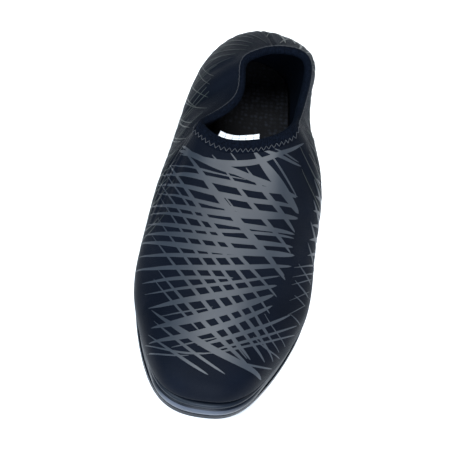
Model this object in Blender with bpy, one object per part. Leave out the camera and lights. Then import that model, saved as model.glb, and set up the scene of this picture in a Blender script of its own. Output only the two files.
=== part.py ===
"""Left water shoe: tread, cup sole with a toe bumper, hollow upper, insole, edge binding and label.

Metres, +Z up, the toe points along -Y and the outer side of the foot is +X. The shoe stands empty on
its tread.
"""

import bmesh
import bpy
import numpy as np

# Sizes of the whole shoe
LENGTH = 0.278
BALL_WIDTH = 0.100
INSTEP_HEIGHT = 0.066

# Wall thicknesses, and the gap left between pieces that meet
UPPER_WALL = 0.0022
CUP_WALL = 0.0028
BINDING_THICKNESS = 0.0011
LABEL_THICKNESS = 0.0006
INSOLE_THICKNESS = 0.0032
INSOLE_EDGE = 0.0010
GAP = 0.0003

# Tread
TREAD_THICKNESS = 0.0042
LUG_DEPTH = 0.0018
TREAD_BORDER = 0.0060
TREAD_STEP = 0.0008
LUG_BOW = 0.0060

# Binding and label. The label's place is a share of the way round the shoe from the heel.
BINDING_LEG = 0.0078
BINDING_SIDE_SHOWN = 0.20
LABEL_WIDTH = 0.0260
LABEL_SHOWN = 0.0075
LABEL_TUCKED = 0.0060
LABEL_DROOP = 0.30
LABEL_PLACE = 0.477

# How many faces go round the shoe, and round the tread with its lugs, and lines across the label
ROUND = 72
TREAD_ROUND = 144
LABEL_LINES = 7

# Edges that turn by more than this, in radians, show as sharp
SHARP_ANGLE = 0.7

# Stations round the shoe, from the middle of the heel along the inner side, round the toe and back
# along the outer side. Side values are shares of BALL_WIDTH, along values are shares of LENGTH from
# the heel, and up values are shares of INSTEP_HEIGHT.
# sole_side, sole_along: the outline of the sole
# rim_side, rim_along, rim_up: the edge of the collar
# belly, rise: how far the wall first bulges out, and how far it climbs there
# reach, climb: how flat and how steep the wall comes in to the collar
STATION_COLUMNS = (
    "sole_side", "sole_along", "rim_side", "rim_along", "rim_up", "belly", "rise", "reach", "climb",
)
STATIONS = (
    (0.008, 0.003, 0.135, 0.168, 1.048, 0.089, 0.500, 0.237, 0.150),
    (-0.256, 0.065, 0.026, 0.184, 1.037, 0.068, 0.460, 0.166, 0.150),
    (-0.365, 0.189, -0.058, 0.218, 0.996, 0.101, 0.420, 0.172, 0.180),
    (-0.386, 0.347, -0.070, 0.300, 0.921, 0.215, 0.400, 0.186, 0.210),
    (-0.440, 0.489, -0.244, 0.373, 0.907, 0.218, 0.400, 0.222, 0.210),
    (-0.516, 0.619, -0.275, 0.404, 0.956, 0.224, 0.400, 0.357, 0.240),
    (-0.512, 0.764, -0.208, 0.432, 0.979, 0.152, 0.400, 0.609, 0.300),
    (-0.347, 0.949, -0.115, 0.446, 0.980, 0.058, 0.450, 0.853, 0.360),
    (-0.086, 0.997, -0.017, 0.446, 0.991, 0.010, 0.480, 0.949, 0.390),
    (0.154, 0.965, 0.089, 0.436, 0.995, 0.020, 0.450, 0.849, 0.360),
    (0.391, 0.825, 0.185, 0.420, 1.014, 0.054, 0.400, 0.606, 0.300),
    (0.502, 0.671, 0.249, 0.397, 1.002, 0.095, 0.400, 0.368, 0.240),
    (0.480, 0.486, 0.292, 0.367, 0.964, 0.156, 0.400, 0.265, 0.210),
    (0.413, 0.350, 0.329, 0.308, 0.898, 0.107, 0.400, 0.103, 0.240),
    (0.369, 0.199, 0.366, 0.209, 0.969, 0.050, 0.420, 0.096, 0.240),
    (0.306, 0.055, 0.295, 0.166, 1.039, 0.078, 0.480, 0.213, 0.210),
)

# The walls lean towards this stretch of the foot's middle line, in shares of LENGTH
MIDDLE_FROM = 0.125
MIDDLE_TO = 0.415

# Heights along the sole, in shares of LENGTH from the heel and of INSTEP_HEIGHT
# under: lowest face of the tread; floor: top of the sole's floor; edge: top edge of the sole's wall
SOLE_COLUMNS = ("along", "under", "floor", "edge")
SOLE_HEIGHTS = (
    (0.00, 0.026, 0.180, 0.350),
    (0.05, 0.004, 0.176, 0.345),
    (0.12, 0.000, 0.170, 0.325),
    (0.30, 0.000, 0.146, 0.240),
    (0.42, 0.018, 0.132, 0.205),
    (0.58, 0.000, 0.120, 0.185),
    (0.75, 0.000, 0.122, 0.190),
    (0.86, 0.022, 0.148, 0.225),
    (0.94, 0.066, 0.196, 0.300),
    (1.00, 0.115, 0.245, 0.350),
)

# Outer face of the sole's wall from its foot to its edge. up is a share of its height; toe_out and
# side_out are shares of CUP_WALL past the outline, at the bumper and everywhere else.
WALL_COLUMNS = ("up", "toe_out", "side_out")
WALL_PROFILE = (
    (0.00, -0.15, -0.10),
    (0.12, 0.35, 0.00),
    (0.38, 0.60, 0.04),
    (0.60, 0.45, 0.04),
    (0.70, -0.10, -0.04),
    (0.80, 0.25, 0.08),
    (0.93, 0.25, 0.06),
    (1.00, -0.12, -0.20),
)
BUMPER_FROM = 0.80
BUMPER_TO = 0.90

# Rows of the upper's wall above the sole, as shares of the way from the sole to the binding
UPPER_ROWS = (0.0, 0.07, 0.16, 0.27, 0.40, 0.54, 0.69, 0.85, 1.0)

# Rows shared by the upper and the binding, as shares of the binding's leg down from the rim
BINDING_ROWS = (0.0, 0.5, 1.0)

# Lines that part the lugs from the grooves across the tread, and the plain waist between heel and ball
LUG_COLUMNS = (0.0, 0.05, 0.24, 0.29, 0.475, 0.525, 0.71, 0.76, 0.95, 1.0)
LUG_PITCH = 4
WAIST_FROM = 0.36
WAIST_TO = 0.50


class Solid:
    """Points and faces of one piece while it is made."""

    def __init__(self):
        self.points = []
        self.faces = []

    def ring(self, points):
        start = len(self.points)
        self.points.extend(np.asarray(points, float))
        return list(range(start, len(self.points)))

    def face(self, *corners):
        kept = [c for c, before in zip(corners, corners[-1:] + corners[:-1]) if c != before]
        if len(kept) > 2:
            self.faces.append(kept)

    def band(self, low, high):
        """Faces between two closed rings, split along the shorter way so that twisted walls nest."""
        for i in range(len(low)):
            j = (i + 1) % len(low)
            rising = np.linalg.norm(self.points[low[i]] - self.points[high[j]])
            falling = np.linalg.norm(self.points[low[j]] - self.points[high[i]])
            if rising < falling:
                self.face(low[i], low[j], high[j])
                self.face(low[i], high[j], high[i])
            else:
                self.face(low[i], low[j], high[i])
                self.face(low[j], high[j], high[i])

    def deck(self, ring, shares):
        """Close a ring with rungs from its one side to the other, and return the rungs' points."""
        half = len(ring) // 2
        rungs = []
        for i in range(half + 1):
            start = self.points[ring[i]]
            end = self.points[ring[-i]]
            if i in (0, half):
                rungs.append([ring[i]] * len(shares))
                continue
            inner = self.ring([start + (end - start) * share for share in shares[1:-1]])
            rungs.append([ring[i], *inner, ring[-i]])
        for low, high in zip(rungs[:-1], rungs[1:]):
            for k in range(len(shares) - 1):
                self.face(low[k], high[k], high[k + 1], low[k + 1])
        return rungs


def column(table, columns, name):
    return np.array([row[columns.index(name)] for row in table])


def round_curve(values, turns):
    """Smooth closed curve through the stations' values, at shares of the way round."""
    count = len(values)
    step = np.eye(count)
    neighbours = np.roll(step, 1, 0) + np.roll(step, -1, 0)
    bend = np.linalg.solve(4 * step + neighbours, 6 * (neighbours - 2 * step) @ values)
    place = np.mod(turns, 1) * count
    low = np.floor(place).astype(int) % count
    high = (low + 1) % count
    part = (place - np.floor(place))[:, None]
    rest = 1 - part
    straight = values[low] * rest + values[high] * part
    return straight + ((rest**3 - rest) * bend[low] + (part**3 - part) * bend[high]) / 6


def along_curve(name, along):
    """Height of the sole at distances from the heel, smooth and without overshoot."""
    places = column(SOLE_HEIGHTS, SOLE_COLUMNS, "along") * LENGTH
    values = column(SOLE_HEIGHTS, SOLE_COLUMNS, name) * INSTEP_HEIGHT
    steps = np.diff(places)
    rises = np.diff(values) / steps
    slopes = np.zeros(len(places))
    same = rises[:-1] * rises[1:] > 0
    slopes[1:-1][same] = (2 * rises[:-1] * rises[1:])[same] / (rises[:-1] + rises[1:])[same]
    slopes[-1] = rises[-1]
    along = np.clip(along, places[0], places[-1])
    low = np.clip(np.searchsorted(places, along, "right") - 1, 0, len(steps) - 1)
    part = (along - places[low]) / steps[low]
    rest = 1 - part
    ends = values[low] * rest**2 * (1 + 2 * part) + values[low + 1] * part**2 * (3 - 2 * part)
    bends = slopes[low] * rest**2 * part - slopes[low + 1] * part**2 * rest
    return ends + bends * steps[low]


def smooth_step(value, start, end):
    part = np.clip((value - start) / (end - start), 0, 1)
    return part * part * (3 - 2 * part)


def turns_of(count):
    return np.arange(count) / count


def outline(turns, inset):
    """The sole's outline moved inwards, as (side, along) pairs."""
    side = column(STATIONS, STATION_COLUMNS, "sole_side") * BALL_WIDTH
    along = column(STATIONS, STATION_COLUMNS, "sole_along") * LENGTH
    loop = np.column_stack([side, along])
    small = 1e-3
    way = round_curve(loop, turns + small) - round_curve(loop, turns - small)
    way /= np.linalg.norm(way, axis=1)[:, None]
    inward = np.column_stack([way[:, 1], -way[:, 0]])
    return round_curve(loop, turns) + inward * np.reshape(inset, (-1, 1))


def lifted(loop, height):
    """A flat loop of (side, along) pairs at the given heights."""
    return np.column_stack([loop, np.broadcast_to(height, len(loop))])


def wall_guides():
    """The four guide points of the upper's wall at every station: foot, belly, lead and rim."""
    value = {name: column(STATIONS, STATION_COLUMNS, name) for name in STATION_COLUMNS}
    loop = outline(turns_of(len(STATIONS)), CUP_WALL + GAP)
    middle = np.column_stack(
        [np.zeros(len(loop)), np.clip(loop[:, 1], MIDDLE_FROM * LENGTH, MIDDLE_TO * LENGTH)]
    )
    lean = middle - loop
    lean /= np.linalg.norm(lean, axis=1)[:, None]
    foot = lifted(loop, along_curve("edge", loop[:, 1]))
    belly_up = along_curve("floor", loop[:, 1]) + value["rise"] * INSTEP_HEIGHT
    belly = lifted(loop - lean * value["belly"][:, None] * BALL_WIDTH, belly_up)
    rim = np.column_stack(
        [
            value["rim_side"] * BALL_WIDTH,
            value["rim_along"] * LENGTH,
            value["rim_up"] * INSTEP_HEIGHT,
        ]
    )
    way = rim[:, :2] - loop
    far = np.linalg.norm(way, axis=1)[:, None]
    turn = np.clip((far / BALL_WIDTH - 0.2) / 0.4, 0, 1)
    inward = lean * (1 - turn) + way / far * turn
    inward /= np.linalg.norm(inward, axis=1)[:, None]
    level = inward * value["reach"][:, None] * BALL_WIDTH
    lead = rim - lifted(level, value["climb"] * INSTEP_HEIGHT)
    return foot, belly, lead, rim


def wall(turns, shares):
    """Points of the upper's outer face above the sole; shares run from the sole's edge to the rim."""
    foot, belly, lead, rim = (round_curve(guide, turns) for guide in wall_guides())
    part = np.reshape(shares, (-1, 1))
    rest = 1 - part
    return rest**3 * foot + 3 * rest**2 * part * belly + 3 * rest * part**2 * lead + part**3 * rim


def wall_outward(turns, shares):
    """Unit vectors square to the upper's outer face."""
    small = 1e-3
    shares = np.broadcast_to(shares, len(turns))
    round_way = wall(turns + small, shares) - wall(turns - small, shares)
    up_way = wall(turns, shares + small) - wall(turns, shares - small)
    square = np.cross(up_way, round_way)
    return square / np.linalg.norm(square, axis=1)[:, None]


def binding_shown(turns):
    """Share of the binding folded to the outside: most of it round the throat, little at the ankle."""
    from_toe = np.abs(np.mod(turns, 1) - 0.5)
    return 1 - (1 - BINDING_SIDE_SHOWN) * smooth_step(from_toe, 0.20, 0.27)


def leg_share(turns):
    """The share of the wall, down from the rim, that the binding's width takes up."""
    small = 1e-3
    top = wall(turns, np.ones(len(turns)))
    below = wall(turns, np.full(len(turns), 1 - small))
    return BINDING_LEG / np.linalg.norm(top - below, axis=1) * small


def binding_rows(turns):
    """Shares of the wall where upper and binding both have a row of points, from the rim down."""
    leg = leg_share(turns)
    return [1 - leg * part for part in BINDING_ROWS]


def upper_rows(turns):
    lowest = binding_rows(turns)[-1]
    return [share * lowest for share in UPPER_ROWS] + binding_rows(turns)[-2::-1]


def make_upper():
    turns = turns_of(ROUND)
    loop = outline(turns, CUP_WALL + GAP)
    inner_loop = outline(turns, CUP_WALL + GAP + UPPER_WALL)
    base = along_curve("floor", loop[:, 1]) + GAP
    outer = [lifted(loop, base)]
    inner = [lifted(inner_loop, base)]
    for shares in upper_rows(turns):
        face = wall(turns, shares)
        outward = wall_outward(turns, shares)
        if np.all(shares == 0):
            outward = -lifted(inner_loop - loop, 0) / UPPER_WALL
        outer.append(face)
        inner.append(face - outward * UPPER_WALL)
    solid = Solid()
    rings = [solid.ring(points) for points in outer + inner[::-1]]
    for low, high in zip(rings, rings[1:] + rings[:1]):
        solid.band(low, high)
    return solid


def make_binding():
    """A strip folded over the collar's edge, with a leg on each side of the upper's wall."""
    turns = turns_of(ROUND)
    rows = binding_rows(turns)
    faces = [(wall(turns, share), wall_outward(turns, share)) for share in rows]
    edge_way = faces[0][0] - faces[1][0]
    edge_way /= np.linalg.norm(edge_way, axis=1)[:, None]
    shown = binding_shown(turns)
    outside = GAP
    inside = -UPPER_WALL - GAP
    thick = BINDING_THICKNESS

    def laid(down, offset):
        """Points at a share of the leg down from the rim, that far off the outer face."""
        down = np.broadcast_to(down, len(turns))
        lines = np.array([face + outward * offset for face, outward in faces])
        place = np.interp(down, BINDING_ROWS, np.arange(len(BINDING_ROWS)))
        low = np.minimum(place.astype(int), len(BINDING_ROWS) - 2)
        part = (place - low)[:, None]
        each = np.arange(len(turns))
        return lines[low, each] * (1 - part) + lines[low + 1, each] * part

    bend = np.minimum(0.5, 0.75 * shown)
    over = edge_way * (GAP + thick)
    loops = [
        laid(shown, outside),
        laid(shown, outside + thick),
        laid(bend, outside + thick),
        laid(0, outside + thick),
        laid(0, outside) + over,
        laid(0, inside) + over,
        laid(0, inside - thick),
        laid(0.5, inside - thick),
        laid(1, inside - thick),
        laid(1, inside),
        laid(0.5, inside),
        laid(0, inside),
        laid(0, inside) + edge_way * GAP,
        laid(0, outside) + edge_way * GAP,
        laid(0, outside),
        laid(bend, outside),
    ]
    solid = Solid()
    rings = [solid.ring(points) for points in loops]
    for low, high in zip(rings, rings[1:] + rings[:1]):
        solid.band(low, high)
    return solid


def make_cup():
    turns = turns_of(ROUND)
    loop = outline(turns, 0)
    share = loop[:, 1] / LENGTH
    bumper = smooth_step(share, BUMPER_FROM, BUMPER_TO)
    foot = along_curve("under", loop[:, 1]) + TREAD_THICKNESS + GAP
    edge = along_curve("edge", loop[:, 1])
    rows = []
    for up, toe_out, side_out in WALL_PROFILE:
        out = (toe_out * bumper + side_out * (1 - bumper)) * CUP_WALL
        rows.append(lifted(outline(turns, -out), foot + (edge - foot) * up))
    inner = outline(turns, CUP_WALL)
    rows.append(lifted(inner, edge))
    rows.append(lifted(inner, along_curve("floor", inner[:, 1])))
    solid = Solid()
    rings = [solid.ring(points) for points in rows]
    for low, high in zip(rings[:-1], rings[1:]):
        solid.band(low, high)
    solid.deck(rings[0], (0, 1))
    solid.deck(rings[-1], (0, 1))
    return solid


def make_insole():
    turns = turns_of(ROUND)
    inset = CUP_WALL + GAP + UPPER_WALL + GAP
    edge = outline(turns, inset)
    crown = outline(turns, inset + INSOLE_EDGE)
    base = along_curve("floor", edge[:, 1]) + GAP
    solid = Solid()
    bottom = solid.ring(lifted(edge, base))
    side = solid.ring(lifted(edge, base + INSOLE_THICKNESS - INSOLE_EDGE / 2))
    top = solid.ring(lifted(crown, base + INSOLE_THICKNESS))
    solid.band(bottom, side)
    solid.band(side, top)
    solid.deck(bottom, (0, 1))
    dish = 0.25 * INSOLE_THICKNESS
    shares = (0, 0.15, 0.5, 0.85, 1)
    for rung in solid.deck(top, shares)[1:-1]:
        for share, point in zip(shares[1:-1], rung[1:-1]):
            solid.points[point][2] -= dish * 4 * share * (1 - share)
    return solid


def is_lug(row, rows, cell, along):
    """Lugs fill every second column of cells, in rows with a groove between them."""
    if cell % 2 == 0 or row % LUG_PITCH == 0 or row < 2 or row > rows - 3:
        return False
    return not WAIST_FROM * LENGTH < along < WAIST_TO * LENGTH


def make_tread():
    turns = turns_of(TREAD_ROUND)
    edge = outline(turns, -TREAD_STEP)
    low = outline(turns, 0)
    inner = outline(turns, TREAD_BORDER)
    under = along_curve("under", edge[:, 1])
    solid = Solid()
    top = solid.ring(lifted(edge, under + TREAD_THICKNESS))
    side = solid.ring(lifted(edge, under + TREAD_STEP))
    bottom = solid.ring(lifted(low, under))
    border = solid.ring(lifted(inner, along_curve("under", inner[:, 1])))
    recess = solid.ring(lifted(inner, along_curve("under", inner[:, 1]) + LUG_DEPTH))
    for first, second in ((top, side), (side, bottom), (bottom, border), (border, recess)):
        solid.band(first, second)
    solid.deck(top, (0, 1))
    tread_cells(solid, recess)
    return solid


def tread_cells(solid, ring):
    """The tread's inner field: cells of a grid that are either a lug or the floor of a groove."""
    rows = len(ring) // 2
    cells = len(LUG_COLUMNS) - 1
    made = {}

    def corner(row, line, is_low):
        if row in (0, rows):
            line = 0
        if (row, line, is_low) in made:
            return made[row, line, is_low]
        share = LUG_COLUMNS[line]
        start, end = solid.points[ring[row]], solid.points[ring[-row]]
        if line in (0, cells) and not is_low:
            index = ring[row] if line == 0 else ring[-row]
        else:
            point = start + (end - start) * share
            bow = LUG_BOW * 4 * share * (1 - share) * smooth_step(min(row, rows - row), 0, 8)
            point[1] += bow
            point[2] = along_curve("under", point[1]) + LUG_DEPTH * (not is_low)
            index = solid.ring([point])[0]
        made[row, line, is_low] = index
        return index

    along = [solid.points[ring[row]][1] for row in range(rows)]
    low = np.array([[is_lug(r, rows, c, along[r]) for c in range(cells)] for r in range(rows)])
    for r in range(rows):
        for c in range(cells):
            level = low[r, c]
            solid.face(
                corner(r, c, level),
                corner(r + 1, c, level),
                corner(r + 1, c + 1, level),
                corner(r, c + 1, level),
            )
            if not level:
                continue
            edges = (
                (low[r - 1, c], (r, c), (r, c + 1)),
                (low[r + 1, c], (r + 1, c + 1), (r + 1, c)),
                (low[r, c - 1], (r + 1, c), (r, c)),
                (low[r, c + 1], (r, c + 1), (r + 1, c + 1)),
            )
            for also_low, start, end in edges:
                if not also_low:
                    solid.face(
                        corner(*start, True), corner(*end, True), corner(*end, False), corner(*start, False)
                    )


def make_label():
    """A strip under the binding at the throat that shows past its edge and droops a little."""
    small = 1e-3
    ends = wall(np.array([LABEL_PLACE - small, LABEL_PLACE + small]), np.ones(2))
    half = LABEL_WIDTH / np.linalg.norm(ends[1] - ends[0]) * small
    turns = np.linspace(LABEL_PLACE - half, LABEL_PLACE + half, LABEL_LINES)
    rim = np.ones(LABEL_LINES)
    outward = wall_outward(turns, rim)
    edge_way = wall(turns, rim) - wall(turns, rim - 1e-3)
    edge_way /= np.linalg.norm(edge_way, axis=1)[:, None]
    under = UPPER_WALL + 2 * GAP + BINDING_THICKNESS
    start = wall(turns, rim) - outward * under
    droop = edge_way - outward * LABEL_DROOP
    droop /= np.linalg.norm(droop, axis=1)[:, None]
    lines = (start - edge_way * LABEL_TUCKED, start, start + droop * LABEL_SHOWN)
    solid = Solid()
    upper_face = [solid.ring(points) for points in lines]
    lower_face = [solid.ring(points - outward * LABEL_THICKNESS) for points in lines]
    loops = upper_face + lower_face[::-1]
    for first, second in zip(loops, loops[1:] + loops[:1]):
        for i in range(LABEL_LINES - 1):
            solid.face(first[i], first[i + 1], second[i + 1], second[i])
    for i in (0, -1):
        for k in range(len(lines) - 1):
            solid.face(upper_face[k][i], upper_face[k + 1][i], lower_face[k + 1][i], lower_face[k][i])
    return solid


def material(name, color, roughness):
    made = bpy.data.materials.new(name)
    made.use_nodes = True
    shader = made.node_tree.nodes["Principled BSDF"]
    shader.inputs["Base Color"].default_value = (*color, 1)
    shader.inputs["Roughness"].default_value = roughness
    return made


def add_object(name, points, faces, surface):
    mesh = bpy.data.meshes.new(name)
    mesh.from_pydata([tuple(point) for point in points], [], faces)
    grid = bmesh.new()
    grid.from_mesh(mesh)
    bmesh.ops.recalc_face_normals(grid, faces=grid.faces[:])
    grid.to_mesh(mesh)
    grid.free()
    mesh.shade_smooth()
    mesh.set_sharp_from_angle(angle=SHARP_ANGLE)
    mesh.materials.append(surface)
    made = bpy.data.objects.new(name, mesh)
    bpy.context.scene.collection.objects.link(made)


def main():
    for old in list(bpy.data.objects):
        bpy.data.objects.remove(old)
    rubber = material("sole_rubber", (0.012, 0.013, 0.016), 0.45)
    knit = material("printed_knit", (0.010, 0.014, 0.022), 0.55)
    elastic = material("elastic_band", (0.008, 0.010, 0.015), 0.75)
    foam = material("insole_foam", (0.010, 0.010, 0.013), 0.80)
    woven = material("woven_label", (0.80, 0.81, 0.82), 0.70)
    solids = {
        "tread": (make_tread(), rubber),
        "cup_sole": (make_cup(), rubber),
        "upper": (make_upper(), knit),
        "insole": (make_insole(), foam),
        "collar_binding": (make_binding(), elastic),
        "size_label": (make_label(), woven),
    }
    everything = np.concatenate([solid.points for solid, _ in solids.values()])
    low, high = everything.min(0), everything.max(0)
    middle = (low + high) / 2
    for name, (solid, surface) in solids.items():
        points = np.array(solid.points) - (middle[0], middle[1], low[2])
        add_object(name, points * (1, -1, 1), solid.faces, surface)


main()
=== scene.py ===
"""Looks of the left water shoe: printed stretch upper, edge binding, rubber cup sole and mesh insole.

Metres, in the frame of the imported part: +Z up, the toe points along -Y, the outer side is +X.
"""

import math

import bpy
import numpy as np
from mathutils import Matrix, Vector
from mathutils.bvhtree import BVHTree
from mathutils.geometry import barycentric_transform


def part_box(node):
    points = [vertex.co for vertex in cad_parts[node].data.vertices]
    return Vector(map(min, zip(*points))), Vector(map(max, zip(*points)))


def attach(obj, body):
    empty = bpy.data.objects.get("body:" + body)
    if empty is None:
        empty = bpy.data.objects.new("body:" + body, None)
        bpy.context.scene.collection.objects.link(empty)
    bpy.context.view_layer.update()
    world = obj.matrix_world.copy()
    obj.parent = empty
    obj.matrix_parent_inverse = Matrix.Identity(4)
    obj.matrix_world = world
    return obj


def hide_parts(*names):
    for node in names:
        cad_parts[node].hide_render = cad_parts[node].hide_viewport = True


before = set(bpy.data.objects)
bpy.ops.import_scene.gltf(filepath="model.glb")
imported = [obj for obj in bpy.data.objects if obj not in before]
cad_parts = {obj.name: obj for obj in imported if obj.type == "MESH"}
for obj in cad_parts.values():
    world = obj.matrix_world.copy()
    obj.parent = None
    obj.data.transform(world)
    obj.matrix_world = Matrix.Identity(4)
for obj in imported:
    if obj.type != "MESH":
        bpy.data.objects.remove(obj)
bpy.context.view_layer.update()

# Sizes of the whole shoe
LENGTH = 0.278
BALL_WIDTH = 0.100
INSTEP_HEIGHT = 0.066

# Wall thicknesses and the gap between pieces that meet
UPPER_WALL = 0.0022
CUP_WALL = 0.0028
BINDING_THICKNESS = 0.0011
LABEL_THICKNESS = 0.0006
INSOLE_THICKNESS = 0.0032
INSOLE_EDGE = 0.0010
GAP = 0.0003
TREAD_THICKNESS = 0.0042
TREAD_STEP = 0.0008

# Binding and label
BINDING_LEG = 0.0078
BINDING_SIDE_SHOWN = 0.20
LABEL_WIDTH = 0.0260
LABEL_SHOWN = 0.0075
LABEL_TUCKED = 0.0060
LABEL_DROOP = 0.30
LABEL_PLACE = 0.477

# Stations round the shoe from the middle of the heel along the inner side, round the toe and back.
# Side values are shares of BALL_WIDTH, along values of LENGTH, up values of INSTEP_HEIGHT.
STATION_COLUMNS = (
    "sole_side", "sole_along", "rim_side", "rim_along", "rim_up", "belly", "rise", "reach", "climb",
)
STATIONS = (
    (0.008, 0.003, 0.135, 0.168, 1.048, 0.089, 0.5, 0.237, 0.15),
    (-0.256, 0.065, 0.026, 0.184, 1.037, 0.068, 0.46, 0.166, 0.15),
    (-0.365, 0.189, -0.058, 0.218, 0.996, 0.101, 0.42, 0.172, 0.18),
    (-0.386, 0.347, -0.07, 0.3, 0.921, 0.215, 0.4, 0.186, 0.21),
    (-0.44, 0.489, -0.244, 0.373, 0.907, 0.218, 0.4, 0.222, 0.21),
    (-0.516, 0.619, -0.275, 0.404, 0.956, 0.224, 0.4, 0.357, 0.24),
    (-0.512, 0.764, -0.208, 0.432, 0.979, 0.152, 0.4, 0.609, 0.3),
    (-0.347, 0.949, -0.115, 0.446, 0.98, 0.058, 0.45, 0.853, 0.36),
    (-0.086, 0.997, -0.017, 0.446, 0.991, 0.01, 0.48, 0.949, 0.39),
    (0.154, 0.965, 0.089, 0.436, 0.995, 0.02, 0.45, 0.849, 0.36),
    (0.391, 0.825, 0.185, 0.42, 1.014, 0.054, 0.4, 0.606, 0.3),
    (0.502, 0.671, 0.249, 0.397, 1.002, 0.095, 0.4, 0.368, 0.24),
    (0.48, 0.486, 0.292, 0.367, 0.964, 0.156, 0.4, 0.265, 0.21),
    (0.413, 0.35, 0.329, 0.308, 0.898, 0.107, 0.4, 0.103, 0.24),
    (0.369, 0.199, 0.366, 0.209, 0.969, 0.05, 0.42, 0.096, 0.24),
    (0.306, 0.055, 0.295, 0.166, 1.039, 0.078, 0.48, 0.213, 0.21),
)

# Ends of the middle line that the wall leans towards, as shares of LENGTH
MIDDLE_FROM = 0.125
MIDDLE_TO = 0.415

# Heights along the sole, in shares of LENGTH from the heel and of INSTEP_HEIGHT
SOLE_COLUMNS = ("along", "under", "floor", "edge")
SOLE_HEIGHTS = (
    (0.0, 0.026, 0.18, 0.35),
    (0.05, 0.004, 0.176, 0.345),
    (0.12, 0.0, 0.17, 0.325),
    (0.3, 0.0, 0.146, 0.24),
    (0.42, 0.018, 0.132, 0.205),
    (0.58, 0.0, 0.12, 0.185),
    (0.75, 0.0, 0.122, 0.19),
    (0.86, 0.022, 0.148, 0.225),
    (0.94, 0.066, 0.196, 0.3),
    (1.0, 0.115, 0.245, 0.35),
)

# Outer face of the sole's wall, from its foot to its edge, as shares of its height and of CUP_WALL
WALL_COLUMNS = ("up", "toe_out", "side_out")
WALL_PROFILE = (
    (0.0, -0.15, -0.1),
    (0.04, 0.12, -0.02),
    (0.12, 0.38, 0.0),
    (0.25, 0.55, 0.04),
    (0.38, 0.62, 0.05),
    (0.5, 0.58, 0.05),
    (0.6, 0.44, 0.04),
    (0.66, 0.14, 0.0),
    (0.7, -0.12, -0.05),
    (0.73, -0.08, -0.03),
    (0.77, 0.16, 0.05),
    (0.83, 0.3, 0.09),
    (0.9, 0.3, 0.08),
    (0.96, 0.12, -0.02),
    (1.0, -0.14, -0.22),
)

# Shares of LENGTH between which the toe bumper swells
BUMPER_SWELLS = (0.90, 0.97)

# Bulge and bead of the wall, each of its own rubber with a painted highlight towards the toe, as shares
# of its height
HIGHLIGHT_BANDS = ((0.12, 0.60), (0.77, 1.0))

# Faces round the shoe, up the upper's outer and inner faces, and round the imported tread
ROUND = 520
OUTER_ROWS = 136
INNER_ROWS = 30
TREAD_ROUND = 144

# Small share of a curve, over which its slope is measured
SMALL = 1e-3

# How far in the rim lies, in shares of BALL_WIDTH, before the wall's top starts to lean towards it, and
# how much further until it leans all that way
LEAN_FROM = 0.2
LEAN_RANGE = 0.4

# Creases of the upper: soft troughs, below nothing, and ridges, above it. Each runs between two places
# given as shares of the way round and up the wall; width and depth are shares of BALL_WIDTH.
# Columns: from_round, from_up, to_round, to_up, width, depth
CREASES = (
    (0.206, 0.96, 0.246, 0.55, 0.024, -0.008),
    (0.219, 0.96, 0.26, 0.46, 0.019, 0.005),
    (0.23, 0.96, 0.27, 0.44, 0.018, -0.008),
    (0.242, 0.95, 0.281, 0.42, 0.018, 0.006),
    (0.253, 0.94, 0.291, 0.38, 0.018, -0.008),
    (0.264, 0.92, 0.301, 0.42, 0.018, 0.005),
    (0.275, 0.9, 0.311, 0.36, 0.018, -0.007),
    (0.286, 0.88, 0.321, 0.42, 0.018, 0.004),
    (0.297, 0.86, 0.331, 0.4, 0.018, -0.006),
    (0.311, 0.84, 0.342, 0.55, 0.02, -0.004),
    (0.15, 0.95, 0.175, 0.4, 0.05, -0.014),
    (0.18, 0.92, 0.215, 0.45, 0.045, 0.01),
    (0.1, 0.9, 0.13, 0.45, 0.045, -0.01),
    (0.77, 0.92, 0.745, 0.4, 0.04, -0.01),
    (0.8, 0.95, 0.79, 0.35, 0.04, 0.008),
    (0.7, 0.9, 0.73, 0.55, 0.045, -0.008),
    (0.395, 0.3, 0.43, 0.42, 0.055, -0.006),
    (0.64, 0.45, 0.61, 0.62, 0.06, -0.006),
)
CREASE_POINTS = 7
CREASE_FADE = 0.7
CREASES_START = (0.0, 0.06)
CREASES_END = (0.97, 1.0)

# Bulge of the cloth over the sole's edge round the toe, a little less at the tip. It starts and ends
# between shares of LENGTH, and rises and falls between shares of the wall.
OVERHANG = 0.0040
OVERHANG_STARTS = (0.58, 0.78)
OVERHANG_ENDS = (0.955, 0.998)
OVERHANG_LOST_AT_TIP = 0.15
OVERHANG_RISE = (0.004, 0.055)
OVERHANG_FALL = (0.16, 0.46)

# Seam at the back: a trough from the foot up, and a lower ridge some seam widths to its sides
SEAM_WIDTH = 0.0009
SEAM_DEPTH = 0.0007
SEAM_FOOT = 0.02
SEAM_POINTS = 12
SEAM_RIDGE_AWAY = 2.4
SEAM_RIDGE_SHARE = 0.5

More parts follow.
